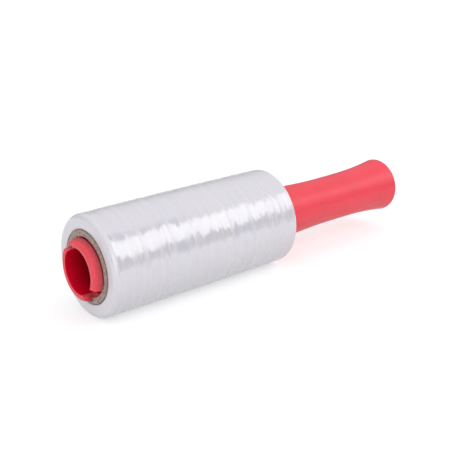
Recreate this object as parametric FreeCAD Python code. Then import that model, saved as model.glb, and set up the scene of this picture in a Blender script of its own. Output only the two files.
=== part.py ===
"""A hand roll of stretch film on a push-in handle, lying on its side.

Millimetres. +X runs along the roll from the split nose towards the grip, +Z is up.
The origin is under the middle of the whole object, on the surface that it lies on.
"""

import FreeCAD
import Part
import math
import os

Vector = FreeCAD.Vector

# The wound film
FILM_WIDTH = 125.0
FILM_RADIUS = 28.4            # at both ends
FILM_SWELL = 0.3              # how much thicker the roll is at mid-width
FILM_FRONT_ROUND = 3.3        # the soft edge at the nose end
FILM_BACK_ROUND = 0.5
FLAT_SPOT_WIDTH = 7.5         # where the soft roll sits flat on the floor, measured at its ends

# The paper core, which the film is wound on
CORE_BORE_RADIUS = 16.5
CORE_WALL = 4.0

# The handle's straight sleeve, loose in the core and lying on the bottom of its bore
SLEEVE_RADIUS = 15.35
HANDLE_WALL = 2.7
SLEEVE_REST_GAP = 0.15        # under the sleeve, to the bottom of the core's bore

# The split nose, whose barb holds the roll from the front
NOSE_REACH = 5.4              # from the core's front face to the nose's rim
NOSE_STEP = 0.45              # how much wider than the sleeve the nose is at its rim
NOSE_ROUND = 1.0
BORE_EDGE_ROUND = 0.4
BARB_HOLD = 1.0               # how far the barb stands out past the core's bore
BARB_ROUND = 0.5
END_GAP = 0.4                 # from the core's end to the barb, and to the collar

# The two slots between the prongs, which run beside the handle's axis and not through it.
# A slot's far side is the one away from the axis, and an inset is measured from the surface there.
SLOTS = (                     # direction from +Y towards +Z in degrees, width in the sleeve, and
    (173.0, 3.0, 3.2),        # how far in that direction the nose reaches on the slot's far side
    (-7.0, 1.3, 6.2),
)
SLOT_INSET_IN_SLEEVE = 3.95
SLOT_INSET_AT_RIM = 3.3
SLOT_INSET_AT_BARB = 1.9      # where the slot undercuts the barb's back corner
SLOT_START = 2.5              # how far from the middle the cut begins, measured in its direction
SLOT_DEPTH = 42.0             # from the nose's rim to the slot's end
SLOT_CORNER_BEVEL = 1.0       # on the prongs' corners at the rim
SLOT_CORNER_ROUND = 0.5
SLOT_END_ROUND_SHARE = 0.4    # of the slot's width, at both corners of its end

# The collar behind the roll
COLLAR_HOLD = 1.1             # how far the collar stands out past the core's bore
COLLAR_WIDTH = 3.0
COLLAR_ROUND = 0.6

# The grip, as distances behind the roll's back face and outer radii
SHOULDER_REACH = 7.5
WAIST_REACH = 48.5
WAIST_RADIUS = 14.3
MOUTH_REACH = 103.2
MOUTH_RADIUS = 17.25
MOUTH_SLOPE_DEG = 7.9         # the grip's outline against its axis, at the mouth
MOUTH_ROUND = 1.0
LIP_LENGTH = 2.0              # the straight last stretch of the grip's outline

# Worked out from the values above
CORE_RADIUS = CORE_BORE_RADIUS + CORE_WALL
HANDLE_BORE_RADIUS = SLEEVE_RADIUS - HANDLE_WALL
NOSE_RADIUS = SLEEVE_RADIUS + NOSE_STEP
BARB_RADIUS = CORE_BORE_RADIUS + BARB_HOLD
COLLAR_RADIUS = CORE_BORE_RADIUS + COLLAR_HOLD
ROLL_AXIS_HEIGHT = math.sqrt(FILM_RADIUS ** 2 - (FLAT_SPOT_WIDTH / 2) ** 2)
HANDLE_AXIS_HEIGHT = ROLL_AXIS_HEIGHT - (CORE_BORE_RADIUS - SLEEVE_RADIUS - SLEEVE_REST_GAP)
ROLL_FRONT_X = (NOSE_REACH - FILM_WIDTH - MOUTH_REACH) / 2


def section_point(x, radius):
    """A point of a turned outline, which is drawn in the XZ plane."""
    return Vector(x, 0, radius)


def corner_arc(entry, corner, leave):
    """The round that touches both straight lines of a corner, from entry to leave."""
    half = (entry - corner).getAngle(leave - corner) / 2
    radius = entry.distanceToPoint(corner) * math.tan(half)
    inward = ((entry - corner).normalize() + (leave - corner).normalize()).normalize()
    middle = corner + inward * (radius / math.sin(half) - radius)
    return Part.Arc(entry, middle, leave).toShape()


def rounded_path(corners):
    """Edges along the corners, each (x, radius, round). The first and last corner stay sharp."""
    points = [section_point(x, radius) for x, radius, _ in corners]
    edges = []
    start = points[0]
    for index in range(1, len(points) - 1):
        corner, fillet = points[index], corners[index][2]
        if fillet > 0:
            back = (points[index - 1] - corner).normalize()
            ahead = (points[index + 1] - corner).normalize()
            reach = fillet / math.tan(back.getAngle(ahead) / 2)
            entry, leave = corner + back * reach, corner + ahead * reach
            edges.append(Part.LineSegment(start, entry).toShape())
            edges.append(corner_arc(entry, corner, leave))
            start = leave
        else:
            edges.append(Part.LineSegment(start, corner).toShape())
            start = corner
    edges.append(Part.LineSegment(start, points[-1]).toShape())
    return edges


def turned(edges):
    """The solid that the closed outline makes when it turns about the X axis."""
    outline = Part.Wire(Part.__sortEdges__(edges))
    return Part.Face(outline).revolve(Vector(0, 0, 0), Vector(1, 0, 0), 360)


def film_roll():
    """The film, seated on the core, with soft edges, a slight swell and a flat underside."""
    front_face = section_point(0, FILM_RADIUS - FILM_FRONT_ROUND)
    front_edge = section_point(FILM_FRONT_ROUND, FILM_RADIUS)
    back_edge = section_point(FILM_WIDTH - FILM_BACK_ROUND, FILM_RADIUS)
    back_face = section_point(FILM_WIDTH, FILM_RADIUS - FILM_BACK_ROUND)
    mid_width = section_point(FILM_WIDTH / 2, FILM_RADIUS + FILM_SWELL)
    outside = [
        corner_arc(front_face, section_point(0, FILM_RADIUS), front_edge),
        Part.Arc(front_edge, mid_width, back_edge).toShape(),
        corner_arc(back_edge, section_point(FILM_WIDTH, FILM_RADIUS), back_face),
    ]
    inside = rounded_path([
        (front_face.x, front_face.z, 0),
        (0, CORE_RADIUS, 0),
        (FILM_WIDTH, CORE_RADIUS, 0),
        (back_face.x, back_face.z, 0),
    ])
    roll = turned(outside + inside)
    roll.translate(Vector(ROLL_FRONT_X, 0, ROLL_AXIS_HEIGHT))
    widest = FILM_RADIUS + FILM_SWELL
    below_floor = Part.makeBox(
        FILM_WIDTH, 2 * widest, widest, Vector(ROLL_FRONT_X, -widest, -widest)
    )
    return roll.cut(below_floor)


def core():
    """The paper tube, cut square at both ends, as wide as the film."""
    start = Vector(ROLL_FRONT_X, 0, ROLL_AXIS_HEIGHT)
    along = Vector(1, 0, 0)
    tube = Part.makeCylinder(CORE_RADIUS, FILM_WIDTH, start, along)
    return tube.cut(Part.makeCylinder(CORE_BORE_RADIUS, FILM_WIDTH, start, along))


def grip_curves(inset):
    """The grip's outline from shoulder to lip, two curves that meet at the waist."""
    shoulder = section_point(FILM_WIDTH + SHOULDER_REACH, SLEEVE_RADIUS - inset)
    waist = section_point(FILM_WIDTH + WAIST_REACH, WAIST_RADIUS - inset)
    flare = math.tan(math.radians(MOUTH_SLOPE_DEG))
    lip = section_point(
        FILM_WIDTH + MOUTH_REACH - LIP_LENGTH, MOUTH_RADIUS - inset - LIP_LENGTH * flare
    )
    neck_half = Vector((waist.x - shoulder.x) / 2, 0, 0)
    flare_length = lip.x - waist.x
    lip_pull = Vector(0.3 * flare_length, 0, 0.3 * flare_length * flare)
    neck, bell = Part.BezierCurve(), Part.BezierCurve()
    neck.setPoles([shoulder, shoulder + neck_half, waist - neck_half, waist])
    bell.setPoles([waist, waist + Vector(flare_length / 2, 0, 0), lip - lip_pull, lip])
    return [neck.toShape(), bell.toShape()], shoulder, lip


def slot_cutter(direction_deg, width, blunt_end):
    """One slot's space, drawn from its open mouth to its end, and pushed out through the wall.

    In the nose it also takes the thin horn off the prong on its far side, which ends blunt there.
    """
    rim_x = -NOSE_REACH
    mouth_x = rim_x + SLOT_CORNER_BEVEL
    outside_x = rim_x - NOSE_ROUND
    end_x = rim_x + SLOT_DEPTH
    far_side = SLEEVE_RADIUS - SLOT_INSET_IN_SLEEVE
    far_at_rim = NOSE_RADIUS - SLOT_INSET_AT_RIM
    far_at_barb = BARB_RADIUS - SLOT_INSET_AT_BARB
    near_side = far_side - width
    near_mouth = near_side - SLOT_CORNER_BEVEL
    far_mouth = far_at_rim + SLOT_CORNER_BEVEL
    end_round = SLOT_END_ROUND_SHARE * width
    corners = [
        (outside_x, near_mouth, 0),
        (rim_x, near_mouth, SLOT_CORNER_ROUND),
        (mouth_x, near_side, SLOT_CORNER_ROUND),
        (end_x, near_side, end_round),
        (end_x, far_side, end_round),
        (0, far_side, 0),
        (0, far_at_barb, 0),
        (-END_GAP, far_at_barb, 0),
        (mouth_x, far_at_rim, SLOT_CORNER_ROUND),
        (rim_x, far_mouth, SLOT_CORNER_ROUND),
        (outside_x, far_mouth, 0),
        (outside_x, near_mouth, 0),
    ]
    outline = Part.Face(Part.Wire(Part.__sortEdges__(rounded_path(corners))))
    outline.translate(Vector(0, SLOT_START, 0))
    horn = Part.makeBox(
        -outside_x, BARB_RADIUS, BARB_RADIUS - near_side, Vector(outside_x, blunt_end, near_side)
    )
    cutter = outline.extrude(Vector(0, BARB_RADIUS, 0)).fuse(horn)
    cutter.rotate(Vector(0, 0, 0), Vector(1, 0, 0), direction_deg)
    return cutter


def handle():
    """The one-piece handle: split nose and barb, sleeve, collar, waisted grip and open mouth."""
    collar_x = FILM_WIDTH + END_GAP
    outer_curves, shoulder, outer_lip = grip_curves(0)
    inner_curves, inner_shoulder, inner_lip = grip_curves(HANDLE_WALL)
    nose_and_collar = rounded_path([
        (inner_shoulder.x, HANDLE_BORE_RADIUS, 0),
        (-NOSE_REACH, HANDLE_BORE_RADIUS, BORE_EDGE_ROUND),
        (-NOSE_REACH, NOSE_RADIUS, NOSE_ROUND),
        (-END_GAP, BARB_RADIUS, BARB_ROUND),
        (-END_GAP, SLEEVE_RADIUS, 0),
        (collar_x, SLEEVE_RADIUS, 0),
        (collar_x, COLLAR_RADIUS, COLLAR_ROUND),
        (collar_x + COLLAR_WIDTH, COLLAR_RADIUS, COLLAR_ROUND),
        (collar_x + COLLAR_WIDTH, SLEEVE_RADIUS, 0),
        (shoulder.x, SLEEVE_RADIUS, 0),
    ])
    mouth_x = FILM_WIDTH + MOUTH_REACH
    mouth_rim = rounded_path([
        (outer_lip.x, outer_lip.z, 0),
        (mouth_x, MOUTH_RADIUS, MOUTH_ROUND),
        (mouth_x, MOUTH_RADIUS - HANDLE_WALL, MOUTH_ROUND),
        (inner_lip.x, inner_lip.z, 0),
    ])
    body = turned(nose_and_collar + outer_curves + mouth_rim + inner_curves)
    for direction_deg, width, blunt_end in SLOTS:
        body = body.cut(slot_cutter(direction_deg, width, blunt_end))
    body.translate(Vector(ROLL_FRONT_X, 0, HANDLE_AXIS_HEIGHT))
    return body


def write(name, shape):
    """Save one sub-part as a single clean solid."""
    solid = shape.Solids[0]
    solid.exportStep(os.path.join("parts", name + ".step"))
    box = solid.BoundBox
    print(
        f"{name}: {len(shape.Solids)} solid, valid {solid.isValid()}, {solid.Volume / 1000:.2f} cm3,"
        f" x {box.XMin:.2f} to {box.XMax:.2f}, y {box.YMin:.2f} to {box.YMax:.2f},"
        f" z {box.ZMin:.2f} to {box.ZMax:.2f}"
    )


os.makedirs("parts", exist_ok=True)
write("film_roll", film_roll())
write("core", core())
write("handle", handle())
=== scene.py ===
"""Looks for the hand roll of stretch film: the wound film, its paper core, the red handle and the stage.

Metres, in the frame of the CAD model: +X runs along the roll from the split nose to the grip, +Z is up.
"""

import math

import bmesh
import bpy
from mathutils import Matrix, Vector


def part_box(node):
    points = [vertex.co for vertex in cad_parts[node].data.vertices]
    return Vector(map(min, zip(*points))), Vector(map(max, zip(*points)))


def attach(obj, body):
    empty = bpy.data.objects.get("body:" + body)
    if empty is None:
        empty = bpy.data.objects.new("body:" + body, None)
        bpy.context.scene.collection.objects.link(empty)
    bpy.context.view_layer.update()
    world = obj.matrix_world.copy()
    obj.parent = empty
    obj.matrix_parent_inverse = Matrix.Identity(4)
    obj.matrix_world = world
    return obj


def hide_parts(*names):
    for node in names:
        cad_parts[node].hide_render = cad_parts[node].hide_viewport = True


bl_info = {
    "name": "Stretch film roll",
    "version": (1, 0, 0),
    "blender": (4, 5, 0),
    "location": "3D View > Sidebar > Film roll",
    "description": "Builds a hand roll of stretch film on its push-in handle",
    "category": "Add Mesh",
}

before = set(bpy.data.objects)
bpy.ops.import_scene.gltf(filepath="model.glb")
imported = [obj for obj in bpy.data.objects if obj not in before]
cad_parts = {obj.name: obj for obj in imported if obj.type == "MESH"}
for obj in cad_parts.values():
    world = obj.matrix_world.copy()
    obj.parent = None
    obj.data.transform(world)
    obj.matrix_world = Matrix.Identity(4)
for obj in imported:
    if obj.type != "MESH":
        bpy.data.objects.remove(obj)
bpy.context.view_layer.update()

MM = 0.001
FILM_LOW, FILM_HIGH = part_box("film_roll")
CORE_LOW, CORE_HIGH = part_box("core")
HANDLE_LOW, HANDLE_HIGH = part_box("handle")
ROLL_AXIS_Z = (CORE_LOW[2] + CORE_HIGH[2]) / 2
CORE_RADIUS = (CORE_HIGH[2] - CORE_LOW[2]) / 2
FILM_WIDEST = (FILM_HIGH[1] - FILM_LOW[1]) / 2
HANDLE_AXIS_Z = (HANDLE_LOW[2] + HANDLE_HIGH[2]) / 2
MERGE_DISTANCE = 1e-6         # joins the first and last columns of a turned mesh

# The film's outline: points on each part of it, and the hollow beside the core
FRONT_POINTS, FRONT_ROUND_POINTS, BARREL_POINTS, BACK_ROUND_POINTS, BACK_POINTS = 13, 14, 190, 4, 9
SUNK_DEPTH, SUNK_WIDTH = 0.35 * MM, 0.8 * MM
FILM_STEPS, FILM_SEED = 256, 4
TURNED_WAVE_LENGTH, TURNED_WAVE_DEPTH = 18 * MM, 0.008 * MM
TURNED_WAVER_SCALE = 30.0     # of the wander of the turned bands' borders, for each metre
TURNED_WAVE_SPREAD = 40.0     # keeps the waves of two turned bands unlike each other

# The film's bands and blocks: how far their borders wander, in widths, and over what length
BAND_WAVER, BLOCK_WAVER, WAVER_LENGTH = 0.4, 0.25, 22 * MM
BAND_WAVE_LENGTH, BAND_TILT = 9 * MM, 0.062
BLOCK_WAVE_LENGTH, BLOCK_TILT = 16 * MM, 0.035
WAVE_SPREAD = 30.0            # keeps the waves of two bands unlike each other
BAND_LEAN = 0.006             # most that a band faces along the roll
# Its relief: fine lines, small creases, and rings on the ends
LINE_PITCH, LINE_STRETCH = 0.9 * MM, 30
LINE_DEPTH, LINE_DEPTH_AT_BACK = 0.010 * MM, 0.09 * MM
BACK_ZONE, BACK_ZONE_FULL = 9 * MM, 2 * MM
CREASE_WIDTH, CREASE_LENGTH, CREASE_DEPTH = 1.5 * MM, 3 * MM, 0.04 * MM
RING_PITCH, RING_WAVER, RING_DEPTH = 0.5 * MM, 1.0 * MM, 0.12 * MM
# Its shade and its roughness, which comes from the band's lot squared and a share of the block's
LINE_SHADE, SHADE_START = 0.9, 0.35
BLOCK_SHARE = 0.35
FILM_SMOOTHEST, FILM_ROUGHEST, END_ROUGHER = 0.10, 0.37, 0.22
FILM_IOR = 2.3                # polyethylene is 1.51, and the layers under the first one mirror too

# The paper tube: its worn corners, and points on each part of its outline
WORN = 0.3 * MM
WORN_POINTS, CORE_FRONT_POINTS, CORE_BACK_POINTS, CORE_BORE_POINTS = 3, 12, 8, 40
CORE_STEPS, CORE_SEED = 192, 1
FLECK_SIZE, FLECK_DEPTH = 1.3 * MM, 0.28 * MM
BLOTCH_SIZE = 4 * MM
PLY_WAVER, PLY_DEPTH = 0.7, 0.10 * MM
PLY_SHADE, PLY_DARKEST = 0.22, 0.85
SEAM_WIDTH, SEAM_SHADE = 0.3 * MM, -0.5
# Width and darkest value of the painted shade at the tube's rim beside the film
RIM_SHADE_WIDTH, RIM_SHADE_DARKEST = 0.7 * MM, 0.45

# The handle's plastic: mould grain, flow marks, clouds, dents and the parting line
WELD_DISTANCE = 0.002 * MM
BORE_FACING = -0.3            # a face whose normal points inwards more than this is in the bore
GRAIN_SIZE, GRAIN_DEPTH = 0.35 * MM, 0.012 * MM
FLOW_LENGTH, FLOW_WIDTH, FLOW_DEPTH = 30 * MM, 2 * MM, 0.03 * MM
CLOUD_SIZE = 14 * MM
DENT_SIZE, DENT_DEPTH = 1.5 * MM, 0.06 * MM
PART_LINE_WIDTH, PART_LINE_DEPTH = 0.35 * MM, 0.03 * MM
# How far into the bore from each end its painted shade fades in
BORE_FADE = 14 * MM
# Painted shade on the nose: where along it the shade starts and is full, where it stops, and its mottling
NOSE_SHADE_FROM, NOSE_SHADE_TO, NOSE_END = 0.8 * MM, 4 * MM, 6 * MM
MOTTLE_SHARE, MOTTLE_BASE = 0.5, 0.75
ROUGHNESS_SPREAD = 0.08

# The stage: the softbox and its flags stand round the roll's axis, and lean from straight up
SOFTBOX_LEAN_DEG, SOFTBOX_AWAY, SOFTBOX_X, SOFTBOX_SIZE = 47.5, 0.9, 0.57, (1.2, 0.62)
FLAGS = (                     # name, how far along the roll it ends, and from where to where it leans
    ("flag_over", 0.52, 14, 28),
    ("flag_under", 1.15, 67, 84),
)
FLAG_COLOUR = (0.07, 0.06, 0.20, 1)
FILL_PLACE, FILL_AIM_X, FILL_SIZE = (-0.95, -0.9, 0.35), -0.11, (1.0, 0.8)
AIM_HEIGHT = 0.03
PAPER_COLOUR, SEEN_PAPER_COLOUR, SEEN_PAPER_GLOW = (0.64, 0.64, 0.64, 1), (0.73, 0.74, 0.74, 1), 0.475
STUDIO_COLOUR, WALL_SHARE, CEILING_SHARE = (0.97, 0.98, 1.0, 1), 0.45, 1.15
CAMERA_PLACE = (-0.3192, -0.3633, 0.2056)
CAMERA_DOWN_DEG, CAMERA_AZIMUTH_DEG = 20.472, 50.273
SENSOR_WIDTH_MM = 36.0


def linear(hex_colour):
    """The linear values of an sRGB hex colour, such as #EE424E."""
    values = [int(hex_colour[i : i + 2], 16) / 255 for i in (1, 3, 5)]
    return tuple(v / 12.92 if v <= 0.04045 else ((v + 0.055) / 1.055) ** 2.4 for v in values)


class FilmSettings(bpy.types.PropertyGroup):
    """The wound film"""

    end_radius: bpy.props.FloatProperty(
        name="End radius", description="Radius of the roll at both ends",
        default=28.4 * MM, unit="LENGTH", subtype="DISTANCE",
    )
    front_round: bpy.props.FloatProperty(
        name="Front edge round", description="Radius of the soft edge at the nose end",
        default=3.3 * MM, unit="LENGTH", subtype="DISTANCE",
    )
    back_round: bpy.props.FloatProperty(
        name="Back edge round", description="Radius of the edge at the grip end",
        default=0.5 * MM, unit="LENGTH", subtype="DISTANCE",
    )
    band_width: bpy.props.FloatProperty(
        name="Band width", description="Mean width of a band of film under one tension",
        default=1.4 * MM, unit="LENGTH", subtype="DISTANCE",
    )
    block_width: bpy.props.FloatProperty(
        name="Block width", description="Mean width of a group of bands that lie alike",
        default=7 * MM, unit="LENGTH", subtype="DISTANCE",
    )
    band_depth: bpy.props.FloatProperty(
        name="Band depth", description="Most that a slack band lies below a tight one",
        default=0.002 * MM, unit="LENGTH", subtype="DISTANCE",
    )
    colour: bpy.props.FloatVectorProperty(
        name="Film", description="Colour of the clouded layers of film",
        default=linear("#DEDCE4"), subtype="COLOR", size=3, min=0, max=1,
    )
    end_colour: bpy.props.FloatVectorProperty(
        name="Film ends", description="Colour of the layers' edges, which let light in",
        default=linear("#F4F3FA"), subtype="COLOR", size=3, min=0, max=1,
    )
    colour_slack: bpy.props.FloatVectorProperty(
        name="Slack film", description="Colour where air lies between the layers",
        default=linear("#E4E0E3"), subtype="COLOR", size=3, min=0, max=1,
    )


class CoreSettings(bpy.types.PropertyGroup):
    """The paper tube that the film is wound on"""

    bore_radius: bpy.props.FloatProperty(
        name="Bore radius", description="Inner radius of the tube",
        default=16.5 * MM, unit="LENGTH", subtype="DISTANCE",
    )
    ply_thickness: bpy.props.FloatProperty(
        name="Ply thickness", description="Thickness of one wound ply of board",
        default=0.5 * MM, unit="LENGTH", subtype="DISTANCE",
    )
    ply_width: bpy.props.FloatProperty(
        name="Ply pitch", description="Distance along the tube between two seams of the inner ply",
        default=70 * MM, unit="LENGTH", subtype="DISTANCE",
    )
    colour: bpy.props.FloatVectorProperty(
        name="Board", description="Colour of the grey-brown board",
        default=linear("#C8B7AC"), subtype="COLOR", size=3, min=0, max=1,
    )


class HandleSettings(bpy.types.PropertyGroup):
    """The one-piece handle"""

    sharp_angle: bpy.props.FloatProperty(
        name="Sharp angle", description="Corners sharper than this stay sharp in the shading",
        default=math.radians(32), unit="ROTATION", subtype="ANGLE",
    )
    colour: bpy.props.FloatVectorProperty(
        name="Plastic", description="Colour of the moulded plastic",
        default=linear("#FD3D4E"), subtype="COLOR", size=3, min=0, max=1,
    )
    bore_colour: bpy.props.FloatVectorProperty(
        name="Bore", description="Colour of the plastic inside, where nothing has scuffed it",
        default=linear("#F0002B"), subtype="COLOR", size=3, min=0, max=1,
    )


class StageSettings(bpy.types.PropertyGroup):
    """The floor, the lamps and the camera"""

    floor_size: bpy.props.FloatProperty(
        name="Floor size", description="Side of the square floor",
        default=6.0, unit="LENGTH", subtype="DISTANCE",
    )
    softbox_power: bpy.props.FloatProperty(
        name="Softbox", description="Power of the softbox that draws the streak on the film",
        default=3.4, unit="POWER",
    )
    surroundings: bpy.props.FloatProperty(
        name="Surroundings", description="Brightness of the white studio round the object",
        default=0.73, min=0, soft_max=2, subtype="FACTOR",
    )
    fill_power: bpy.props.FloatProperty(
        name="Fill", description="Power of the large weak lamp in front of the roll's end",
        default=3.3, unit="POWER",
    )
    focal_length: bpy.props.FloatProperty(
        name="Focal length", description="Of the camera, in millimetres on a 36 mm sensor",
        default=68.74, unit="CAMERA",
    )


def add_node(tree, kind, inputs=None, **settings):
    """One node with its settings, and its inputs as values, sockets or nodes (their first output)."""
    made = tree.nodes.new(kind)
    for name, value in settings.items():
        setattr(made, name, value)
    for key, value in (inputs or {}).items():
        if isinstance(value, bpy.types.Node):
            value = value.outputs[0]
        if isinstance(value, bpy.types.NodeSocket):
            tree.links.new(value, made.inputs[key])
        else:
            made.inputs[key].default_value = value
    return made


def new_material(name):
    """An empty node material and its tree."""
    material = bpy.data.materials.new(name)
    material.use_nodes = True
    material.node_tree.nodes.clear()
    return material, material.node_tree


def lathe_tree():
    """Geometry Nodes that turn an outline, drawn as (x, 0, radius), about a level axis."""
    tree = bpy.data.node_groups.new("Turn an outline", "GeometryNodeTree")
    panel = tree.interface
    panel.new_socket(name="Outline", in_out="INPUT", socket_type="NodeSocketGeometry")
    for name in ("Axis height", "Band width", "Band depth", "Waves", "Wave depth"):
        panel.new_socket(name=name, in_out="INPUT", socket_type="NodeSocketFloat")
    panel.new_socket(name="Steps", in_out="INPUT", socket_type="NodeSocketInt")
    panel.new_socket(name="Seed", in_out="INPUT", socket_type="NodeSocketInt")
    panel.new_socket(name="Material", in_out="INPUT", socket_type="NodeSocketMaterial")
    panel.new_socket(name="Mesh", in_out="OUTPUT", socket_type="NodeSocketGeometry")
    given = add_node(tree, "NodeGroupInput").outputs

    # A grid with one row for each point of the outline and one column for each step of the turn
    steps = given["Steps"]
    columns = add_node(tree, "ShaderNodeMath", {0: steps, 1: 1.0}, operation="ADD")
    rows = add_node(tree, "GeometryNodeAttributeDomainSize", {0: given["Outline"]}, component="MESH")
    grid = add_node(tree, "GeometryNodeMeshGrid", {"Vertices X": rows, "Vertices Y": columns})
    index = add_node(tree, "GeometryNodeInputIndex")
    row = add_node(tree, "ShaderNodeMath", {0: index, 1: columns}, operation="DIVIDE")
    row = add_node(tree, "ShaderNodeMath", {0: row}, operation="FLOOR")
    column = add_node(tree, "ShaderNodeMath", {0: index, 1: columns}, operation="MODULO")

    # The outline's point and its two weights, for that row
    position = add_node(tree, "GeometryNodeInputPosition")
    point = add_node(
        tree, "GeometryNodeSampleIndex", {"Geometry": given["Outline"], "Value": position, "Index": row},
        data_type="FLOAT_VECTOR",
    )
    point = add_node(tree, "ShaderNodeSeparateXYZ", {0: point})
    weights = {}
    for name in ("end_face", "barrel"):
        named = add_node(
            tree, "GeometryNodeInputNamedAttribute", {"Name": name}, data_type="FLOAT"
        )
        weights[name] = add_node(
            tree, "GeometryNodeSampleIndex",
            {"Geometry": given["Outline"], "Value": named, "Index": row}, data_type="FLOAT",
        )

    # The undisturbed place on the turned surface
    turn = add_node(tree, "ShaderNodeMath", {0: column, 1: steps}, operation="DIVIDE")
    angle = add_node(tree, "ShaderNodeMath", {0: turn, 1: 2 * math.pi}, operation="MULTIPLY")
    sine = add_node(tree, "ShaderNodeMath", {0: angle}, operation="SINE")
    cosine = add_node(tree, "ShaderNodeMath", {0: angle}, operation="COSINE")
    flat_y = add_node(tree, "ShaderNodeMath", {0: sine, 1: point.outputs[2]}, operation="MULTIPLY")
    flat_z = add_node(tree, "ShaderNodeMath", {0: cosine, 1: point.outputs[2]}, operation="MULTIPLY")
    wander = add_node(tree, "ShaderNodeCombineXYZ", {0: 0.0, 1: flat_y, 2: flat_z})
    waver = add_node(
        tree, "ShaderNodeTexNoise", {"Vector": wander, "Scale": TURNED_WAVER_SCALE, "Detail": 1.0},
        noise_dimensions="3D",
    )

    # Bands under different tension: each has its own depth and its own slow waves round the roll
    band = add_node(
        tree, "ShaderNodeMath", {0: point.outputs[0], 1: given["Band width"]}, operation="DIVIDE"
    )
    band = add_node(
        tree, "ShaderNodeMath", {0: waver.outputs[0], 1: BAND_WAVER, 2: band}, operation="MULTIPLY_ADD"
    )
    band = add_node(tree, "ShaderNodeMath", {0: band}, operation="FLOOR")
    lot = add_node(
        tree, "FunctionNodeRandomValue", {2: 0.0, 3: 1.0, "ID": band, "Seed": given["Seed"]},
        data_type="FLOAT",
    ).outputs[1]
    sink = add_node(tree, "ShaderNodeMath", {0: lot, 1: given["Band depth"]}, operation="MULTIPLY")
    spread = add_node(
        tree, "ShaderNodeVectorMath", {0: wander, 3: given["Waves"]}, operation="SCALE"
    )
    own = add_node(tree, "ShaderNodeMath", {0: lot, 1: TURNED_WAVE_SPREAD}, operation="MULTIPLY")
    wave = add_node(
        tree, "ShaderNodeTexNoise", {"Vector": spread, "W": own, "Scale": 1.0, "Detail": 1.0},
        noise_dimensions="4D",
    )
    wave = add_node(
        tree, "ShaderNodeMath", {0: wave.outputs[0], 1: given["Wave depth"]}, operation="MULTIPLY"
    )
    sink = add_node(tree, "ShaderNodeMath", {0: sink, 1: wave}, operation="ADD")
    sink = add_node(tree, "ShaderNodeMath", {0: sink, 1: weights["barrel"]}, operation="MULTIPLY")
    radius = add_node(tree, "ShaderNodeMath", {0: point.outputs[2], 1: sink}, operation="SUBTRACT")

    # The real place, with the underside flat where it lies on the floor
    place_y = add_node(tree, "ShaderNodeMath", {0: sine, 1: radius}, operation="MULTIPLY")
    place_z = add_node(
        tree, "ShaderNodeMath", {0: cosine, 1: radius, 2: given["Axis height"]}, operation="MULTIPLY_ADD"
    )
    place_z = add_node(tree, "ShaderNodeMath", {0: place_z, 1: 0.0}, operation="MAXIMUM")
    place = add_node(tree, "ShaderNodeCombineXYZ", {0: point.outputs[0], 1: place_y, 2: place_z})

    # The weight is kept for the material before the rows move
    marked = add_node(
        tree, "GeometryNodeStoreNamedAttribute",
        {"Geometry": grid, "Name": "end_face", "Value": weights["end_face"]}, data_type="FLOAT",
    )
    moved = add_node(tree, "GeometryNodeSetPosition", {"Geometry": marked, "Position": place})
    closed = add_node(
        tree, "GeometryNodeMergeByDistance", {"Geometry": moved, "Distance": MERGE_DISTANCE}
    )
    smooth = add_node(tree, "GeometryNodeSetShadeSmooth", {"Geometry": closed})
    plain = add_node(tree, "GeometryNodeRealizeInstances", {"Geometry": smooth})
    finished = add_node(
        tree, "GeometryNodeSetMaterial", {"Geometry": plain, "Material": given["Material"]}
    )
    add_node(tree, "NodeGroupOutput", {0: finished})
    return tree


def turned_piece(name, outline, inputs):
    """A closed mesh, turned from an outline of (x, radius, end face weight, barrel weight)."""
    drawn = bpy.data.meshes.new(name + "_outline")
    edges = [(i, i + 1) for i in range(len(outline) - 1)]
    drawn.from_pydata([(x, 0, radius) for x, radius, _, _ in outline], edges, [])
    for column, weight in ((2, "end_face"), (3, "barrel")):
        attribute = drawn.attributes.new(weight, "FLOAT", "POINT")
        for spot, values in zip(attribute.data, outline):
            spot.value = values[column]
    piece = bpy.data.objects.new(name, drawn)
    bpy.context.scene.collection.objects.link(piece)
    modifier = piece.modifiers.new("Turn", "NODES")
    modifier.node_group = lathe_tree()
    for item in modifier.node_group.interface.items_tree:
        if item.name in inputs:
            modifier[item.identifier] = inputs[item.name]
    seen = piece.evaluated_get(bpy.context.evaluated_depsgraph_get())
    mesh = bpy.data.meshes.new_from_object(seen)
    piece.modifiers.remove(modifier)
    piece.data = mesh
    mesh.name = name
    solid = bmesh.new()
    solid.from_mesh(mesh)
    if solid.calc_volume(signed=True) < 0:
        bmesh.ops.reverse_faces(solid, faces=solid.faces)
        solid.to_mesh(mesh)
    solid.free()
    return piece


def axis_coordinates(tree, axis_height):
    """Object coordinates centred on an axis along X, their parts, and the distance to the axis."""
    seen = add_node(tree, "ShaderNodeTexCoord")
    centred = add_node(
        tree, "ShaderNodeMapping", {"Vector": seen.outputs["Object"], "Location": (0, 0, -axis_height)}
    )
    parts = add_node(tree, "ShaderNodeSeparateXYZ", {0: centred})
    across = add_node(tree, "ShaderNodeCombineXYZ", {1: parts.outputs[1], 2: parts.outputs[2]})
    distance = add_node(tree, "ShaderNodeVectorMath", {0: across}, operation="LENGTH").outputs["Value"]
    return centred, parts, across, distance


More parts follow.
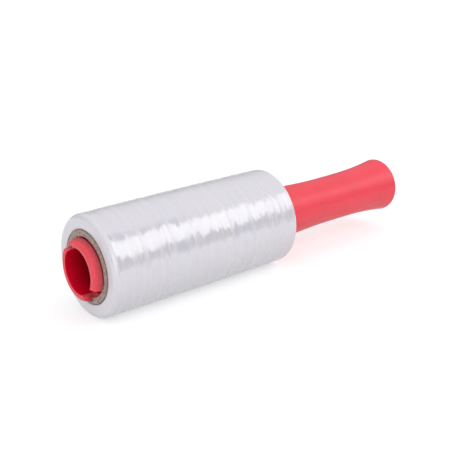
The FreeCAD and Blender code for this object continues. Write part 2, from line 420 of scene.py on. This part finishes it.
def film_material(settings):
    """Cast linear low density polyethylene film, wound tight in some hundred clear layers.

    The layers scatter light between them, so the roll is a clouded, faintly lavender white. The
    outermost one is glossy, and bands of uneven tension break its highlight into patches.
    """
    material, tree = new_material("cast_polyethylene_film_wound")
    centred, parts, across, distance = axis_coordinates(tree, ROLL_AXIS_Z)
    face = add_node(tree, "ShaderNodeAttribute", attribute_name="end_face").outputs["Fac"]

    # Narrow bands in wider blocks, whose borders wander slightly round the roll
    waver = add_node(
        tree, "ShaderNodeTexNoise", {"Vector": across, "Scale": 1 / WAVER_LENGTH, "Detail": 1.0}
    )
    along = add_node(
        tree, "ShaderNodeMath", {0: parts.outputs[0], 1: 1 / settings.band_width}, operation="MULTIPLY"
    )
    along = add_node(
        tree, "ShaderNodeMath", {0: waver.outputs[0], 1: BAND_WAVER, 2: along}, operation="MULTIPLY_ADD"
    )
    band = add_node(
        tree, "ShaderNodeTexVoronoi",
        {"W": along, "Scale": 1.0, "Randomness": 1.0}, voronoi_dimensions="1D",
    )
    lot = add_node(tree, "ShaderNodeSeparateColor", {0: band.outputs["Color"]})
    blocked = add_node(
        tree, "ShaderNodeMath", {0: parts.outputs[0], 1: 1 / settings.block_width}, operation="MULTIPLY"
    )
    blocked = add_node(
        tree, "ShaderNodeMath", {0: waver.outputs[0], 1: BLOCK_WAVER, 2: blocked},
        operation="MULTIPLY_ADD",
    )
    block = add_node(
        tree, "ShaderNodeTexVoronoi",
        {"W": blocked, "Scale": 1.0, "Randomness": 1.0}, voronoi_dimensions="1D",
    )
    block_lot = add_node(tree, "ShaderNodeSeparateColor", {0: block.outputs["Color"]})

    # Bands and blocks have their own slow waves round the roll. They tilt the normal round the
    # roll's axis by some 3 degrees, and leave no step between two bands
    wave = None
    for source, length, most in (
        (lot, BAND_WAVE_LENGTH, BAND_TILT), (block_lot, BLOCK_WAVE_LENGTH, BLOCK_TILT)
    ):
        own = add_node(
            tree, "ShaderNodeMath", {0: source.outputs[0], 1: WAVE_SPREAD}, operation="MULTIPLY"
        )
        slow = add_node(
            tree, "ShaderNodeTexNoise",
            {"Vector": across, "W": own, "Scale": 1 / length, "Detail": 1.0, "Roughness": 0.45},
            noise_dimensions="4D",
        )
        slow = add_node(
            tree, "ShaderNodeMapRange",
            {"Value": slow.outputs[0], "From Min": 0.25, "From Max": 0.75, "To Min": -most,
             "To Max": most},
        )
        wave = slow if wave is None else add_node(
            tree, "ShaderNodeMath", {0: wave, 1: slow}, operation="ADD"
        )
    lean = add_node(
        tree, "ShaderNodeMapRange",
        {"Value": lot.outputs[1], "To Min": -BAND_LEAN, "To Max": BAND_LEAN},
    )
    round_it = add_node(
        tree, "ShaderNodeVectorMath", {0: across, 1: (1, 0, 0)}, operation="CROSS_PRODUCT"
    )
    round_it = add_node(tree, "ShaderNodeVectorMath", {0: round_it}, operation="NORMALIZE")
    tilt = add_node(tree, "ShaderNodeVectorMath", {0: round_it, 3: wave}, operation="SCALE")
    slope = add_node(tree, "ShaderNodeCombineXYZ", {0: lean})
    tilt = add_node(tree, "ShaderNodeVectorMath", {0: tilt, 1: slope}, operation="ADD")
    still = add_node(tree, "ShaderNodeMath", {0: 1.0, 1: face}, operation="SUBTRACT")
    tilt = add_node(tree, "ShaderNodeVectorMath", {0: tilt, 3: still}, operation="SCALE")
    tilt = add_node(
        tree, "ShaderNodeVectorTransform", {0: tilt}, vector_type="VECTOR",
        convert_from="OBJECT", convert_to="WORLD",
    )
    smooth = add_node(tree, "ShaderNodeNewGeometry").outputs["Normal"]
    tilted = add_node(tree, "ShaderNodeVectorMath", {0: smooth, 1: tilt}, operation="ADD")
    tilted = add_node(tree, "ShaderNodeVectorMath", {0: tilted}, operation="NORMALIZE")

    # Fine lines round the roll, from the edges of single layers
    lined = add_node(
        tree, "ShaderNodeMapping",
        {"Vector": centred, "Scale": (1 / LINE_PITCH, LINE_STRETCH, LINE_STRETCH)},
    )
    lines = add_node(tree, "ShaderNodeTexNoise", {"Vector": lined, "Scale": 1.0, "Detail": 2.0})
    # Small creases where the film was stretched
    creased = add_node(
        tree, "ShaderNodeMapping",
        {"Vector": centred, "Scale": (1 / CREASE_WIDTH, 1 / CREASE_LENGTH, 1 / CREASE_LENGTH)},
    )
    creases = add_node(tree, "ShaderNodeTexNoise", {"Vector": creased, "Scale": 1.0, "Detail": 1.0})
    # Rings on the end faces, from the layers' edges, drawn far enough apart to show
    ringed = add_node(
        tree, "ShaderNodeMath", {0: waver.outputs[0], 1: RING_WAVER, 2: distance},
        operation="MULTIPLY_ADD",
    )
    rings = add_node(
        tree, "ShaderNodeTexNoise", {"W": ringed, "Scale": 1 / RING_PITCH, "Detail": 1.5},
        noise_dimensions="1D",
    )

    # The lines are deeper in the last stretch before the back edge, where the layers end unevenly
    deep = add_node(
        tree, "ShaderNodeMapRange",
        {"Value": parts.outputs[0], "From Min": FILM_HIGH[0] - BACK_ZONE,
         "From Max": FILM_HIGH[0] - BACK_ZONE_FULL, "To Min": LINE_DEPTH, "To Max": LINE_DEPTH_AT_BACK},
        interpolation_type="SMOOTHSTEP",
    )
    relief = add_node(tree, "ShaderNodeMath", {0: lines.outputs[0], 1: deep}, operation="MULTIPLY")
    relief = add_node(
        tree, "ShaderNodeMath", {0: creases.outputs[0], 1: CREASE_DEPTH, 2: relief},
        operation="MULTIPLY_ADD",
    )
    edges = add_node(
        tree, "ShaderNodeMath", {0: rings.outputs[0], 1: RING_DEPTH}, operation="MULTIPLY"
    )
    relief = add_node(tree, "ShaderNodeMix", {0: face, 2: relief, 3: edges}, data_type="FLOAT")
    bump = add_node(
        tree, "ShaderNodeBump",
        {"Height": relief, "Strength": 1.0, "Distance": 1.0, "Normal": tilted},
    )

    # Slack bands are a little lighter and warmer, and the rings on the ends a little darker
    shade = add_node(
        tree, "ShaderNodeMath", {0: lines.outputs[0], 1: LINE_SHADE, 2: lot.outputs[1]},
        operation="MULTIPLY_ADD",
    )
    shade = add_node(
        tree, "ShaderNodeMath", {0: shade, 1: SHADE_START}, operation="SUBTRACT", use_clamp=True
    )
    barrel = add_node(
        tree, "ShaderNodeMix", {0: shade, 6: (*settings.colour, 1), 7: (*settings.colour_slack, 1)},
        data_type="RGBA",
    )
    tint = add_node(
        tree, "ShaderNodeMapRange",
        {"Value": rings.outputs[0], "From Min": 0.3, "From Max": 0.7, "To Min": 0.92, "To Max": 1.0},
    )
    ends = add_node(
        tree, "ShaderNodeMix", {0: 1.0, 6: (*settings.end_colour, 1), 7: tint.outputs[0]},
        data_type="RGBA", blend_type="MULTIPLY",
    )
    colour = add_node(
        tree, "ShaderNodeMix", {0: face, 6: barrel.outputs[2], 7: ends.outputs[2]}, data_type="RGBA"
    )
    rough = add_node(tree, "ShaderNodeMath", {0: lot.outputs[2], 1: 2.0}, operation="POWER")
    rough = add_node(
        tree, "ShaderNodeMath", {0: block_lot.outputs[2], 1: BLOCK_SHARE, 2: rough},
        operation="MULTIPLY_ADD",
    )
    rough = add_node(
        tree, "ShaderNodeMapRange",
        {"Value": rough, "From Max": 1 + BLOCK_SHARE, "To Min": FILM_SMOOTHEST,
         "To Max": FILM_ROUGHEST},
    )
    rough = add_node(
        tree, "ShaderNodeMath", {0: face, 1: END_ROUGHER, 2: rough}, operation="MULTIPLY_ADD"
    )
    surface = add_node(
        tree, "ShaderNodeBsdfPrincipled",
        {"Base Color": colour.outputs[2], "Roughness": rough, "Normal": bump, "IOR": FILM_IOR},
    )
    add_node(tree, "ShaderNodeOutputMaterial", {0: surface})
    return material


def board_material(settings):
    """Recycled grey board, wound in a spiral and glued, then cut with a blade.

    The cut end shows the plies as rings with torn fibres, and the bore shows the spiral seam.
    """
    material, tree = new_material("recycled_board_tube")
    centred, parts, _, distance = axis_coordinates(tree, ROLL_AXIS_Z)
    face = add_node(tree, "ShaderNodeAttribute", attribute_name="end_face").outputs["Fac"]

    # Flecks of fibre, and larger blotches
    flecks = add_node(
        tree, "ShaderNodeTexNoise", {"Vector": centred, "Scale": 1 / FLECK_SIZE, "Detail": 3.0}
    )
    blotch = add_node(
        tree, "ShaderNodeTexNoise", {"Vector": centred, "Scale": 1 / BLOTCH_SIZE, "Detail": 2.0}
    )
    # Plies, whose rings waver by a part of a ply
    wavered = add_node(
        tree, "ShaderNodeMath",
        {0: blotch.outputs[0], 1: settings.ply_thickness * PLY_WAVER, 2: distance},
        operation="MULTIPLY_ADD",
    )
    ply = add_node(
        tree, "ShaderNodeMath", {0: wavered, 1: 2 * math.pi / settings.ply_thickness},
        operation="MULTIPLY",
    )
    ply = add_node(tree, "ShaderNodeMath", {0: ply}, operation="SINE")
    plies = add_node(
        tree, "ShaderNodeMapRange", {"Value": ply, "From Min": -1.0, "To Min": 0.0, "To Max": 1.0}
    )
    # The spiral seam between two turns of the inner ply, as a dark line
    angle = add_node(
        tree, "ShaderNodeMath", {0: parts.outputs[1], 1: parts.outputs[2]}, operation="ARCTAN2"
    )
    turn = add_node(tree, "ShaderNodeMath", {0: angle, 1: 1 / (2 * math.pi)}, operation="MULTIPLY")
    turn = add_node(
        tree, "ShaderNodeMath", {0: parts.outputs[0], 1: 1 / settings.ply_width, 2: turn},
        operation="MULTIPLY_ADD",
    )
    turn = add_node(tree, "ShaderNodeMath", {0: turn, 1: 1.0}, operation="FLOORED_MODULO")
    seam = add_node(
        tree, "ShaderNodeMath", {0: turn, 1: SEAM_WIDTH / settings.ply_width}, operation="LESS_THAN"
    )

    relief = add_node(
        tree, "ShaderNodeMath", {0: plies.outputs[0], 1: PLY_DEPTH}, operation="MULTIPLY"
    )
    relief = add_node(tree, "ShaderNodeMath", {0: relief, 1: face}, operation="MULTIPLY")
    relief = add_node(
        tree, "ShaderNodeMath", {0: flecks.outputs[0], 1: FLECK_DEPTH, 2: relief},
        operation="MULTIPLY_ADD",
    )
    bump = add_node(tree, "ShaderNodeBump", {"Height": relief, "Strength": 1.0, "Distance": 1.0})

    light = add_node(
        tree, "ShaderNodeMapRange",
        {"Value": flecks.outputs[0], "From Min": 0.3, "From Max": 0.7, "To Min": 0.55, "To Max": 1.35},
    )
    ply_light = add_node(
        tree, "ShaderNodeMath", {0: plies.outputs[0], 1: PLY_SHADE, 2: PLY_DARKEST},
        operation="MULTIPLY_ADD",
    )
    ply_light = add_node(tree, "ShaderNodeMix", {0: face, 2: 1.0, 3: ply_light}, data_type="FLOAT")
    light = add_node(tree, "ShaderNodeMath", {0: light.outputs[0], 1: ply_light}, operation="MULTIPLY")
    dark = add_node(
        tree, "ShaderNodeMath", {0: seam, 1: SEAM_SHADE, 2: 1.0}, operation="MULTIPLY_ADD"
    )
    light = add_node(tree, "ShaderNodeMath", {0: light, 1: dark}, operation="MULTIPLY")
    # Painted shade: the tube darkens at its rim beside the film, where the gap to the film lies in shade
    rim = add_node(
        tree, "ShaderNodeMapRange",
        {"Value": wavered, "From Min": CORE_RADIUS - RIM_SHADE_WIDTH, "From Max": CORE_RADIUS,
         "To Min": 1.0, "To Max": RIM_SHADE_DARKEST},
        interpolation_type="SMOOTHSTEP",
    )
    light = add_node(tree, "ShaderNodeMath", {0: light, 1: rim}, operation="MULTIPLY")
    colour = add_node(
        tree, "ShaderNodeMix", {0: 1.0, 6: (*settings.colour, 1), 7: light},
        data_type="RGBA", blend_type="MULTIPLY",
    )
    rough = add_node(
        tree, "ShaderNodeMapRange", {"Value": blotch.outputs[0], "To Min": 0.8, "To Max": 0.98}
    )
    surface = add_node(
        tree, "ShaderNodeBsdfPrincipled",
        {"Base Color": colour.outputs[2], "Roughness": rough.outputs[0], "Normal": bump, "IOR": 1.47},
    )
    add_node(tree, "ShaderNodeOutputMaterial", {0: surface})
    return material


def handle_material(name, colour_rgb, roughness, specular, painted_bore_shade, painted_barb_shade):
    """Injection moulded polyethylene, coloured through, from a lightly spark-eroded mould.

    A satin surface with a broad, weak highlight, a fine grain and faint flow marks along the grip.
    Its last two arguments are painted shade: its brightness deep in the bore, away from the handle's two
    ends, and its brightness at the barb.
    """
    material, tree = new_material(name)
    centred, parts, _, _ = axis_coordinates(tree, HANDLE_AXIS_Z)

    # Fine mould grain, long narrow flow marks, and wide clouds
    grain = add_node(
        tree, "ShaderNodeTexNoise", {"Vector": centred, "Scale": 1 / GRAIN_SIZE, "Detail": 2.0}
    )
    flowed = add_node(
        tree, "ShaderNodeMapping",
        {"Vector": centred, "Scale": (1 / FLOW_LENGTH, 1 / FLOW_WIDTH, 1 / FLOW_WIDTH)},
    )
    flow = add_node(tree, "ShaderNodeTexNoise", {"Vector": flowed, "Scale": 1.0, "Detail": 2.0})
    clouds = add_node(
        tree, "ShaderNodeTexNoise", {"Vector": centred, "Scale": 1 / CLOUD_SIZE, "Detail": 2.0}
    )
    # Small dents, as on soft plastic that has been trimmed and pushed into many cores
    dents = add_node(
        tree, "ShaderNodeTexNoise", {"Vector": centred, "Scale": 1 / DENT_SIZE, "Detail": 1.0}
    )
    # The mould's two halves meet in a line along each side
    part_line = add_node(tree, "ShaderNodeMath", {0: parts.outputs[2]}, operation="ABSOLUTE")
    part_line = add_node(
        tree, "ShaderNodeMapRange",
        {"Value": part_line, "From Min": 0.0, "From Max": PART_LINE_WIDTH, "To Min": 1.0,
         "To Max": 0.0},
        interpolation_type="SMOOTHSTEP",
    )

    relief = add_node(
        tree, "ShaderNodeMath", {0: grain.outputs[0], 1: GRAIN_DEPTH}, operation="MULTIPLY"
    )
    for pattern, depth in ((flow, FLOW_DEPTH), (dents, DENT_DEPTH), (part_line, PART_LINE_DEPTH)):
        relief = add_node(
            tree, "ShaderNodeMath", {0: pattern.outputs[0], 1: depth, 2: relief},
            operation="MULTIPLY_ADD",
        )
    bump = add_node(tree, "ShaderNodeBump", {"Height": relief, "Strength": 1.0, "Distance": 1.0})

    light = add_node(
        tree, "ShaderNodeMapRange",
        {"Value": clouds.outputs[0], "From Min": 0.3, "From Max": 0.7, "To Min": 0.95, "To Max": 1.03},
    )
    colour = add_node(
        tree, "ShaderNodeMix", {0: 1.0, 6: (*colour_rgb, 1), 7: light.outputs[0]},
        data_type="RGBA", blend_type="MULTIPLY",
    )
    # Painted shade: the bore is darker away from both its ends, deep inside where little light reaches
    depth = add_node(tree, "ShaderNodeMath", {0: parts.outputs[0]}, operation="ABSOLUTE")
    depth = add_node(
        tree, "ShaderNodeMapRange",
        {"Value": depth, "From Min": HANDLE_HIGH[0] - BORE_FADE, "From Max": HANDLE_HIGH[0],
         "To Min": painted_bore_shade, "To Max": 1.0},
    )
    # Painted shade: the nose darkens from its rim towards its barb, mottled by the dent pattern
    painted_nose_shade = add_node(
        tree, "ShaderNodeMapRange",
        {"Value": parts.outputs[0], "From Min": HANDLE_LOW[0] + NOSE_SHADE_FROM,
         "From Max": HANDLE_LOW[0] + NOSE_SHADE_TO, "To Min": 1.0, "To Max": painted_barb_shade},
    )
    mottled = add_node(
        tree, "ShaderNodeMath", {0: dents.outputs[0], 1: MOTTLE_SHARE, 2: MOTTLE_BASE},
        operation="MULTIPLY_ADD",
    )
    painted_nose_shade = add_node(tree, "ShaderNodeMath", {0: painted_nose_shade, 1: mottled}, operation="MULTIPLY")
    nose = add_node(
        tree, "ShaderNodeMath", {0: parts.outputs[0], 1: HANDLE_LOW[0] + NOSE_END},
        operation="LESS_THAN",
    )
    painted_nose_shade = add_node(tree, "ShaderNodeMix", {0: nose, 2: 1.0, 3: painted_nose_shade}, data_type="FLOAT")
    # The painted shade of the bore and of the nose darken the colour together
    shade = add_node(tree, "ShaderNodeMath", {0: depth, 1: painted_nose_shade}, operation="MULTIPLY")
    colour = add_node(
        tree, "ShaderNodeMix", {0: 1.0, 6: colour.outputs[2], 7: shade},
        data_type="RGBA", blend_type="MULTIPLY",
    )
    rough = add_node(
        tree, "ShaderNodeMapRange",
        {"Value": flow.outputs[0], "To Min": roughness - ROUGHNESS_SPREAD,
         "To Max": roughness + ROUGHNESS_SPREAD},
    )
    surface = add_node(
        tree, "ShaderNodeBsdfPrincipled",
        {
            "Base Color": colour.outputs[2], "Roughness": rough.outputs[0], "Normal": bump,
            "IOR": 1.51, "Specular IOR Level": specular, "Subsurface Weight": 0.12,
            "Subsurface Radius": (1.0, 0.25, 0.2), "Subsurface Scale": 1.5 * MM,
        },
    )
    add_node(tree, "ShaderNodeOutputMaterial", {0: surface})
    return material


def floor_material():
    """White seamless paper: it reads as plain white to the camera, and keeps the object's shadow."""
    material, tree = new_material("white_background_paper")
    path = add_node(tree, "ShaderNodeLightPath")
    seen = add_node(
        tree, "ShaderNodeMath", {0: path.outputs["Is Camera Ray"], 1: path.outputs["Is Glossy Ray"]},
        operation="MAXIMUM",
    )
    seen = add_node(
        tree, "ShaderNodeMath", {0: seen, 1: path.outputs["Is Transmission Ray"]}, operation="MAXIMUM"
    )
    paper = add_node(tree, "ShaderNodeBsdfDiffuse", {"Color": PAPER_COLOUR})
    catch = add_node(tree, "ShaderNodeBsdfDiffuse", {"Color": SEEN_PAPER_COLOUR})
    glow = add_node(tree, "ShaderNodeEmission", {"Color": (1, 1, 1, 1), "Strength": SEEN_PAPER_GLOW})
    white = add_node(tree, "ShaderNodeAddShader", {0: catch, 1: glow})
    both = add_node(tree, "ShaderNodeMixShader", {0: seen, 1: paper, 2: white})
    add_node(tree, "ShaderNodeOutputMaterial", {0: both})
    return material


def corner_points(centre, radius, start_deg, end_deg, count):
    """Points of a quarter round, as (x, radius) pairs, both ends included."""
    points = []
    for i in range(count + 1):
        angle = math.radians(start_deg + (end_deg - start_deg) * i / count)
        points.append((centre[0] + radius * math.cos(angle), centre[1] + radius * math.sin(angle)))
    return points


def place_round_the_roll(x, lean_deg):
    """A place at the softbox's distance from the roll, so many degrees from straight up."""
    lean = math.radians(lean_deg)
    return (x, -SOFTBOX_AWAY * math.sin(lean), SOFTBOX_AWAY * math.cos(lean) + AIM_HEIGHT)


class FILMROLL_OT_wind_film(bpy.types.Operator):
    """Turn the wound film, with its soft front edge, bands of tension and flat underside"""

    bl_idname = "film_roll.wind_film"
    bl_label = "Wind the film"

    def execute(self, context):
        s = context.scene.film_roll_film
        front, back = FILM_LOW[0], FILM_HIGH[0]
        inner = CORE_RADIUS
        swell = FILM_WIDEST - s.end_radius
        outline = []
        # Front face, slightly sunk beside the core
        for i in range(FRONT_POINTS):
            radius = inner + (s.end_radius - s.front_round - inner) * i / FRONT_POINTS
            sunk = SUNK_DEPTH * max(0.0, 1 - (radius - inner) / SUNK_WIDTH)
            outline.append((front + sunk, radius, 1.0, 0.0))
        centre = (front + s.front_round, s.end_radius - s.front_round)
        rounded = corner_points(centre, s.front_round, 180, 90, FRONT_ROUND_POINTS)
        for i, (x, radius) in enumerate(rounded):
            barrel = i / FRONT_ROUND_POINTS
            outline.append((x, radius, 1 - barrel, barrel))
        # Barrel, thicker at mid-width
        start, end = front + s.front_round, back - s.back_round
        for i in range(1, BARREL_POINTS):
            share = i / BARREL_POINTS
            outline.append(
                (start + (end - start) * share, s.end_radius + swell * 4 * share * (1 - share), 0.0, 1.0)
            )
        centre = (back - s.back_round, s.end_radius - s.back_round)
        rounded = corner_points(centre, s.back_round, 90, 0, BACK_ROUND_POINTS)
        for i, (x, radius) in enumerate(rounded):
            face = i / BACK_ROUND_POINTS
            outline.append((x, radius, face, 1 - face))
        for i in range(1, BACK_POINTS + 1):
            radius = s.end_radius - s.back_round + (inner - s.end_radius + s.back_round) * i / BACK_POINTS
            outline.append((back, radius, 1.0, 0.0))
        outline.append((front + SUNK_DEPTH, inner, 1.0, 0.0))
        film = turned_piece(
            "wound_film", outline,
            {
                "Axis height": ROLL_AXIS_Z, "Band width": s.band_width, "Band depth": s.band_depth,
                "Waves": 1 / TURNED_WAVE_LENGTH, "Wave depth": TURNED_WAVE_DEPTH,
                "Steps": FILM_STEPS, "Seed": FILM_SEED,
                "Material": film_material(s),
            },
        )
        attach(film, "roll")
        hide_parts("film_roll")
        return {"FINISHED"}


class FILMROLL_OT_roll_core(bpy.types.Operator):
    """Turn the paper tube, with its cut ends"""

    bl_idname = "film_roll.roll_core"
    bl_label = "Roll the core"

    def execute(self, context):
        s = context.scene.film_roll_core
        front, back = CORE_LOW[0], CORE_HIGH[0]
        inner, outer = s.bore_radius, CORE_RADIUS
        low, high = inner + WORN, outer - WORN
        cut_ends = corner_points((front + WORN, low), WORN, 270, 180, WORN_POINTS)
        for i in range(1, CORE_FRONT_POINTS):
            cut_ends.append((front, low + (outer - inner - 2 * WORN) * i / CORE_FRONT_POINTS))
        cut_ends += corner_points((front + WORN, high), WORN, 180, 90, WORN_POINTS)
        cut_ends += corner_points((back - WORN, high), WORN, 90, 0, WORN_POINTS)
        for i in range(1, CORE_BACK_POINTS):
            cut_ends.append((back, high + (inner - outer + 2 * WORN) * i / CORE_BACK_POINTS))
        cut_ends += corner_points((back - WORN, low), WORN, 0, -90, WORN_POINTS)
        outline = [(x, radius, 1.0, 0.0) for x, radius in cut_ends]
        for i in range(1, CORE_BORE_POINTS):
            x = back - WORN + (front - back + 2 * WORN) * i / CORE_BORE_POINTS
            outline.append((x, inner, 0.0, 0.0))
        outline.append(outline[0])
        core = turned_piece(
            "paper_core", outline,
            {
                "Axis height": ROLL_AXIS_Z, "Band width": 1.0, "Band depth": 0.0,
                "Waves": 1.0, "Wave depth": 0.0, "Steps": CORE_STEPS, "Seed": CORE_SEED,
                "Material": board_material(s),
            },
        )
        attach(core, "roll")
        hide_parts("core")
        return {"FINISHED"}


class FILMROLL_OT_finish_handle(bpy.types.Operator):
    """Copy the handle's CAD shape as one smooth mesh, and give it its plastic"""

    bl_idname = "film_roll.finish_handle"
    bl_label = "Finish the handle"

    def execute(self, context):
        s = context.scene.film_roll_handle
        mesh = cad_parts["handle"].data.copy()
        mesh.name = "push_in_handle"
        mesh.materials.clear()
        shape = bmesh.new()
        shape.from_mesh(mesh)
        bmesh.ops.remove_doubles(shape, verts=shape.verts, dist=WELD_DISTANCE)
        for face in shape.faces:
            face.smooth = True
            middle = face.calc_center_median() - Vector((0, 0, HANDLE_AXIS_Z))
            outward = Vector((0, middle.y, middle.z)).normalized()
            face.material_index = 1 if face.normal.dot(outward) < BORE_FACING else 0
        for edge in shape.edges:
            edge.smooth = edge.calc_face_angle(0) < s.sharp_angle
        shape.to_mesh(mesh)
        shape.free()
        # Painted shade: the outside darkens towards the barb, and the bore's copy of the plastic darkens
        # deep inside
        outside = {"roughness": 0.45, "specular": 0.75, "painted_bore_shade": 1.0, "painted_barb_shade": 0.56}
        inside = {"roughness": 0.6, "specular": 0.1, "painted_bore_shade": 0.34, "painted_barb_shade": 1.0}
        mesh.materials.append(handle_material("moulded_polyethylene_red", s.colour, **outside))
        mesh.materials.append(handle_material("moulded_polyethylene_bore", s.bore_colour, **inside))
        handle = bpy.data.objects.new("push_in_handle", mesh)
        context.scene.collection.objects.link(handle)
        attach(handle, "handle")
        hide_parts("handle")
        return {"FINISHED"}


class FILMROLL_OT_set_stage(bpy.types.Operator):
    """Make the floor, the studio light and the camera"""

    bl_idname = "film_roll.set_stage"
    bl_label = "Set the stage"

    def execute(self, context):
        s = context.scene.film_roll_stage
        scene = context.scene
        half = s.floor_size / 2
        mesh = bpy.data.meshes.new("floor")
        mesh.from_pydata(
            [(-half, -half, 0), (half, -half, 0), (half, half, 0), (-half, half, 0)], [], [(0, 1, 2, 3)]
        )
        mesh.materials.append(floor_material())
        floor = bpy.data.objects.new("floor", mesh)
        scene.collection.objects.link(floor)

        # The softbox lies along the roll, where the roll's near side mirrors it to the camera
        lamps = (
            ("softbox", place_round_the_roll(SOFTBOX_X, SOFTBOX_LEAN_DEG), SOFTBOX_X, SOFTBOX_SIZE,
             s.softbox_power),
            ("fill", FILL_PLACE, FILL_AIM_X, FILL_SIZE, s.fill_power),
        )
        for name, place, target_x, size, power in lamps:
            lamp = bpy.data.lights.new(name, "AREA")
            lamp.shape = "RECTANGLE"
            lamp.size, lamp.size_y = size
            lamp.energy = power
            panel = bpy.data.objects.new(name, lamp)
            panel.location = place
            aim = Vector((target_x, 0, AIM_HEIGHT)) - Vector(place)
            panel.rotation_euler = aim.to_track_quat("-Z", "Y").to_euler()
            scene.collection.objects.link(panel)

        # Two dark violet flags, one beyond each long edge of the softbox, draw the darker, faintly
        # lavender bands along the streak: they are out of the camera's sight
        velvet, tree = new_material("dark_violet_velvet_flag")
        cloth = add_node(tree, "ShaderNodeBsdfDiffuse", {"Color": FLAG_COLOUR})
        add_node(tree, "ShaderNodeOutputMaterial", {0: cloth})
        for name, end_x, start_deg, end_deg in FLAGS:
            corners = [
                place_round_the_roll(x, lean_deg)
                for x, lean_deg in ((0, start_deg), (end_x, start_deg), (end_x, end_deg), (0, end_deg))
            ]
            mesh = bpy.data.meshes.new(name)
            mesh.from_pydata(corners, [], [(0, 1, 2, 3)])
            mesh.materials.append(velvet)
            flag = bpy.data.objects.new(name, mesh)
            flag.visible_camera = False
            scene.collection.objects.link(flag)

        # White studio: the camera sees it as plain white, and it lights the object more weakly
        world = scene.world or bpy.data.worlds.new("white_studio")
        scene.world = world
        world.use_nodes = True
        tree = world.node_tree
        tree.nodes.clear()
        path = add_node(tree, "ShaderNodeLightPath")
        direction = add_node(tree, "ShaderNodeTexCoord")
        # The studio's walls are darker than its ceiling
        height = add_node(tree, "ShaderNodeSeparateXYZ", {0: direction.outputs["Generated"]})
        level = add_node(
            tree, "ShaderNodeMapRange",
            {"Value": height.outputs[2], "From Min": 0.1, "From Max": 0.6,
             "To Min": WALL_SHARE * s.surroundings, "To Max": CEILING_SHARE * s.surroundings},
            interpolation_type="SMOOTHSTEP",
        )
        lit = add_node(tree, "ShaderNodeBackground", {"Color": STUDIO_COLOUR, "Strength": level})
        white = add_node(tree, "ShaderNodeBackground", {"Color": (1, 1, 1, 1), "Strength": 1.0})
        both = add_node(tree, "ShaderNodeMixShader", {0: path.outputs["Is Camera Ray"], 1: lit, 2: white})
        add_node(tree, "ShaderNodeOutputWorld", {0: both})

        camera = bpy.data.objects.new("camera", bpy.data.cameras.new("camera"))
        camera.data.lens, camera.data.sensor_width = s.focal_length, SENSOR_WIDTH_MM
        camera.location = CAMERA_PLACE
        camera.rotation_euler = (
            math.radians(90 - CAMERA_DOWN_DEG), 0, math.radians(CAMERA_AZIMUTH_DEG - 90)
        )
        scene.collection.objects.link(camera)
        scene.camera = camera
        scene.view_settings.view_transform = "Standard"
        return {"FINISHED"}


class FILMROLL_PT_panel(bpy.types.Panel):
    """Film roll"""

    bl_idname = "FILMROLL_PT_panel"
    bl_label = "Film roll"
    bl_space_type = "VIEW_3D"
    bl_region_type = "UI"
    bl_category = "Film roll"

    def draw(self, context):
        for group, operator in STEPS:
            box = self.layout.box()
            settings = getattr(context.scene, group)
            for name in settings.bl_rna.properties.keys():
                if name not in ("rna_type", "name"):
                    box.prop(settings, name)
            box.operator(operator.bl_idname)


GROUPS = {
    "film_roll_film": FilmSettings,
    "film_roll_core": CoreSettings,
    "film_roll_handle": HandleSettings,
    "film_roll_stage": StageSettings,
}
STEPS = (
    ("film_roll_film", FILMROLL_OT_wind_film),
    ("film_roll_core", FILMROLL_OT_roll_core),
    ("film_roll_handle", FILMROLL_OT_finish_handle),
    ("film_roll_stage", FILMROLL_OT_set_stage),
)


def register():
    for name, group in GROUPS.items():
        bpy.utils.register_class(group)
        setattr(bpy.types.Scene, name, bpy.props.PointerProperty(type=group))
    for _, operator in STEPS:
        bpy.utils.register_class(operator)
    bpy.utils.register_class(FILMROLL_PT_panel)


def unregister():
    bpy.utils.unregister_class(FILMROLL_PT_panel)
    for _, operator in reversed(STEPS):
        bpy.utils.unregister_class(operator)
    for name, group in reversed(GROUPS.items()):
        delattr(bpy.types.Scene, name)
        bpy.utils.unregister_class(group)


def main():
    register()
    bpy.ops.film_roll.wind_film()
    bpy.ops.film_roll.roll_core()
    bpy.ops.film_roll.finish_handle()
    bpy.ops.film_roll.set_stage()


if __name__ == "__main__":
    main()
